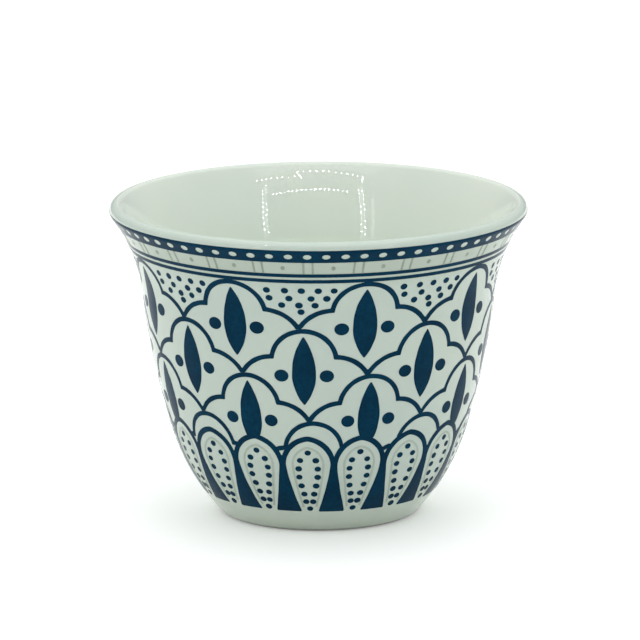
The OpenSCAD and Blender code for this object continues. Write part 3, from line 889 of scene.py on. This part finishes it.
def outline_points(cut):
    """Lengths from a petal's middle and heights along its grey line, from foot to point and down again."""
    side_z = np.linspace(PETAL_LINE_LOW, PETAL_WAIST, PETAL_SIDE_STEPS)
    r = PETAL_LINE_SHARE * PETAL_HALF - cut + PETAL_OFFSET
    reach = math.sqrt(r**2 - PETAL_OFFSET**2)
    angles = np.linspace(0, math.degrees(math.atan2(reach, PETAL_OFFSET)), PETAL_POINT_STEPS)[1:]
    x = np.concatenate([petal_side(side_z, PETAL_LINE_SHARE, cut), r * cos(angles) - PETAL_OFFSET])
    z = np.concatenate([side_z, PETAL_WAIST + r * sin(angles)])
    return np.concatenate([x, -x[-2::-1]]), np.concatenate([z, z[-2::-1]])


def build_petals():
    outlines = Sheet()
    dots = Sheet()
    cuts = (0, GREY_LINE / 2, GREY_LINE)
    line_x, line_z = np.moveaxis(np.array([outline_points(cut) for cut in cuts]), 1, 0)
    for copy in range(PETAL_COUNT):
        middle = PETAL_AZIMUTH + copy * PETAL_PITCH
        outlines.grid((middle + turn_of(line_x, line_z)).T[:, ::-1], line_z.T[:, ::-1])
        for share, height_share in zip(PETAL_DOT_PLACE_SHARES, PETAL_DOT_HEIGHT_SHARES):
            z = PETAL_LOW + height_share * (PETAL_WAIST + PETAL_REACH - PETAL_LOW)
            out = share * float(petal_side(z, PETAL_LINE_SHARE, GREY_LINE))
            for side in (-1, 1) if share else (1,):
                turn = middle + side * float(turn_of(out, z))
                size = PETAL_HALF * dot_size(turn, z, DOT_WAVER_SHARE, PETAL_DOT_SEED)
                dots.dot(turn, z, (PETAL_DOT_SHARES[0] * size, PETAL_DOT_SHARES[1] * size))
    outlines.piece("petal_outlines", faint_grey)
    dots.piece("petal_dots", cobalt)


build_porcelain()
build_glaze()
build_foot_glaze()
build_rim()
build_panels()
build_field_dots()
build_scallops()
build_leaves()
build_border()
build_petals()

# Camera
CAMERA_TILT = 12.6
CAMERA_ROLL = 0.223
CAMERA_DISTANCE = 1.075
CAMERA_TARGET = Vector((0.19 * MM, 0, 32.35 * MM))
CAMERA_NEAR = 0.01
SENSOR = 36
FOCAL_LENGTH = 360

# Floor
FLOOR_HALF = 4.0
FLOOR_GLOW = 0.25
FLOOR_ROUGHNESS = 0.9
FLOOR_SHINE = 0.1

# The lamp over the tent: power in watts
OVERHEAD_PLACE, OVERHEAD_SIZE, OVERHEAD_POWER = (0, -0.1, 0.9), (0.9, 0.7), 1.8

# The light tent that the cup stands in. Heights of a direction are from 0, level, to 1, overhead.
TENT_SIDE_LIGHT, TENT_RING_LIGHT, TENT_TOP_SHARE = 0.1, 2.95, 0.45
TENT_RING_LOW, TENT_RING_FULL = 0.15, 0.35
TENT_TOP_START, TENT_TOP_FULL = 0.6, 0.8
TENT_FLANK_DIP = 0.75
TENT_SHINE = 0.27

# Its front is open between two posts, in metres from the cup. The opening looks darker in reflections.
TENT_FRONT = -0.3
POST_RIGHT, POST_LEFT = 0.25, -0.195
OPENING_TOP = 0.37
OPENING_DARK = 0.75
OPENING_EDGE = 0.04

# Small lamps along the posts and ceiling: start, end, count, and the sideways zigzag of every other lamp
LAMP_HALF = 0.0032
LAMP_LIGHT = 46
LAMP_LINES = (
    ((0.277, TENT_FRONT, 0.485), (0.238, TENT_FRONT, 0.15), 21, 0.019),
    ((POST_LEFT, TENT_FRONT, 0.43), (POST_LEFT, TENT_FRONT, 0.1), 21, 0.019),
    ((0.295, -0.245, 0.5), (0.108, -0.291, 0.5), 8, 0),
    ((0.088, -0.258, 0.5), (0.081, -0.303, 0.5), 6, 0),
    ((0.059, -0.254, 0.5), (-0.2, -0.264, 0.5), 11, 0),
    ((-0.2, -0.26, 0.5), (-0.223, -0.313, 0.5), 7, 0),
    ((0.209, TENT_FRONT, 0.376), (-0.125, TENT_FRONT, 0.37), 18, 0),
)
# The posts' pale faces, a little behind the lamps: start, end, half width and light
POST_BEHIND = 1.03
POST_FACES = (
    ((0.272, TENT_FRONT, 0.48), (0.232, TENT_FRONT, 0.07), 0.014, 1.6),
    ((POST_LEFT, TENT_FRONT, 0.43), (POST_LEFT, TENT_FRONT, 0.07), 0.013, 1.6),
    ((-0.262, TENT_FRONT, 0.36), (-0.247, TENT_FRONT, 0.08), 0.009, 2.0),
)


def stage_mesh(name, verts, faces, material):
    mesh = bpy.data.meshes.new(name)
    mesh.from_pydata(verts, [], faces)
    mesh.update()
    mesh.materials.append(material)
    obj = bpy.data.objects.new(name, mesh)
    bpy.context.scene.collection.objects.link(obj)
    return obj


def floor_material():
    n = Nodes("pale_floor")
    n.set("Base Color", FLOOR_COLOUR)
    n.set("Roughness", FLOOR_ROUGHNESS)
    n.set("Specular IOR Level", FLOOR_SHINE)
    path = n.tree.nodes.new("ShaderNodeLightPath").outputs
    direct = n.math("MAXIMUM", path["Is Camera Ray"], path["Is Transmission Ray"])
    seen = n.math("MAXIMUM", direct, path["Is Glossy Ray"])
    n.set("Emission Color", WHITE)
    n.set("Emission Strength", n.math("MULTIPLY", seen, FLOOR_GLOW))
    return n.material


def build_floor():
    corners = ((-1, -1), (1, -1), (1, 1), (-1, 1))
    verts = [(x * FLOOR_HALF, y * FLOOR_HALF, 0) for x, y in corners]
    stage_mesh("floor", verts, [(0, 1, 2, 3)], floor_material())


class WorldNodes(Nodes):
    """The same short way to build the world's node tree."""

    def __init__(self, world):
        world.use_nodes = True
        self.tree = world.node_tree
        self.shader = self.tree.nodes["Background"]
        self.where = self.tree.nodes.new("ShaderNodeTexCoord").outputs["Generated"]


def tent_opening(n, toward):
    """1 for directions through the tent's open front, 0 for the rest."""
    ahead = n.math("MAXIMUM", n.math("MULTIPLY", toward["Y"], -1), OPENING_EDGE)
    across = n.math("DIVIDE", toward["X"], ahead)
    middle = (POST_RIGHT + POST_LEFT) / 2 / -TENT_FRONT
    half = (POST_RIGHT - POST_LEFT) / 2 / -TENT_FRONT
    aside = n.math("ABSOLUTE", n.math("SUBTRACT", across, middle), 0)
    between = n.span(aside, half - OPENING_EDGE, half, 1, 0)
    high = OPENING_TOP / -TENT_FRONT
    under = n.span(n.math("DIVIDE", toward["Z"], ahead), high - OPENING_EDGE, high, 1, 0)
    return n.math("MULTIPLY", between, under)


def tent_light(n, toward):
    """Light on the cup: strongest from a ring part way up, weaker from the flanks and from the top."""
    ring = n.span(toward["Z"], TENT_RING_LOW, TENT_RING_FULL, TENT_SIDE_LIGHT, TENT_RING_LIGHT)
    lit = n.math("MULTIPLY", ring, n.span(toward["Z"], TENT_TOP_START, TENT_TOP_FULL, 1, TENT_TOP_SHARE))
    flank = n.math("MULTIPLY", n.math("ABSOLUTE", toward["X"], 0), TENT_FLANK_DIP)
    return n.math("MULTIPLY", lit, n.math("SUBTRACT", 1, flank))


def build_tent():
    """White where it is seen, dim in reflections, with a darker opening between the front posts."""
    world = bpy.data.worlds.new("light_tent")
    bpy.context.scene.world = world
    n = WorldNodes(world)
    toward = n.new("ShaderNodeSeparateXYZ", Vector=n.where).outputs
    path = n.tree.nodes.new("ShaderNodeLightPath").outputs
    direct = n.math("MAXIMUM", path["Is Camera Ray"], path["Is Transmission Ray"])
    shown = n.math("MAXIMUM", direct, n.math("MULTIPLY", path["Is Glossy Ray"], TENT_SHINE))
    hidden = n.math("SUBTRACT", 1, n.math("MAXIMUM", direct, path["Is Glossy Ray"]))
    level = n.math("ADD", shown, n.math("MULTIPLY", tent_light(n, toward), hidden))
    opening = n.math("MULTIPLY", tent_opening(n, toward), n.math("SUBTRACT", 1, direct))
    dim = n.math("SUBTRACT", 1, n.math("MULTIPLY", opening, OPENING_DARK))
    n.set("Color", WHITE)
    n.set("Strength", n.math("MULTIPLY", level, dim))


def glowing(name, strength):
    n = Nodes(name)
    n.set("Base Color", BLACK)
    n.set("Emission Color", WHITE)
    n.set("Emission Strength", strength)
    return n.material


def reflected_only(obj):
    obj.visible_camera = False
    obj.visible_diffuse = False
    obj.visible_transmission = False
    obj.visible_shadow = False


def facing_quad(centre, along, half_width, half_length):
    """Corners of a small quad that faces the cup."""
    side = along.cross(centre).normalized() * half_width
    reach = along.normalized() * half_length
    return [tuple(centre + side * a + reach * b) for a, b in ((-1, -1), (1, -1), (1, 1), (-1, 1))]


def build_lamps():
    verts = []
    for start, end, count, zigzag in LAMP_LINES:
        start, end = Vector(start), Vector(end)
        along = (end - start).normalized()
        for i in range(count):
            centre = start.lerp(end, i / (count - 1))
            aside = along.cross(centre).normalized() * zigzag / 2 * (-1) ** i
            verts += facing_quad(centre + aside, along, LAMP_HALF, LAMP_HALF)
    faces = [tuple(range(i, i + 4)) for i in range(0, len(verts), 4)]
    reflected_only(stage_mesh("tent_lamps", verts, faces, glowing("lamp_light", LAMP_LIGHT)))


def build_posts():
    for number, (start, end, half, light) in enumerate(POST_FACES):
        start, end = Vector(start), Vector(end)
        quad = facing_quad((start + end) / 2 * POST_BEHIND, end - start, half, (end - start).length / 2)
        name = f"tent_post_{number}"
        reflected_only(stage_mesh(name, quad, [(0, 1, 2, 3)], glowing(name, light)))


def build_overhead():
    data = bpy.data.lights.new("overhead", "AREA")
    data.shape = "RECTANGLE"
    data.size, data.size_y = OVERHEAD_SIZE
    data.energy = OVERHEAD_POWER
    obj = bpy.data.objects.new("overhead", data)
    bpy.context.scene.collection.objects.link(obj)
    obj.location = OVERHEAD_PLACE
    obj.rotation_euler = (-Vector(OVERHEAD_PLACE)).to_track_quat("-Z", "Y").to_euler()


def build_camera():
    data = bpy.data.cameras.new("camera")
    data.sensor_width = SENSOR
    data.lens = FOCAL_LENGTH
    data.clip_start = CAMERA_NEAR
    camera = bpy.data.objects.new("camera", data)
    bpy.context.scene.collection.objects.link(camera)
    tilt, roll = math.radians(CAMERA_TILT), math.radians(CAMERA_ROLL)
    back = Vector((0, -math.cos(tilt), math.sin(tilt)))
    up = Vector((0, math.sin(tilt), math.cos(tilt)))
    right = Vector((1, 0, 0))
    turned_right = right * math.cos(roll) - up * math.sin(roll)
    turned_up = right * math.sin(roll) + up * math.cos(roll)
    turned = Matrix((turned_right, turned_up, back)).transposed().to_4x4()
    camera.matrix_world = Matrix.Translation(CAMERA_TARGET + back * CAMERA_DISTANCE) @ turned
    bpy.context.scene.camera = camera


build_floor()
build_tent()
build_lamps()
build_posts()
build_overhead()
build_camera()
bpy.context.scene.view_settings.view_transform = "Standard"
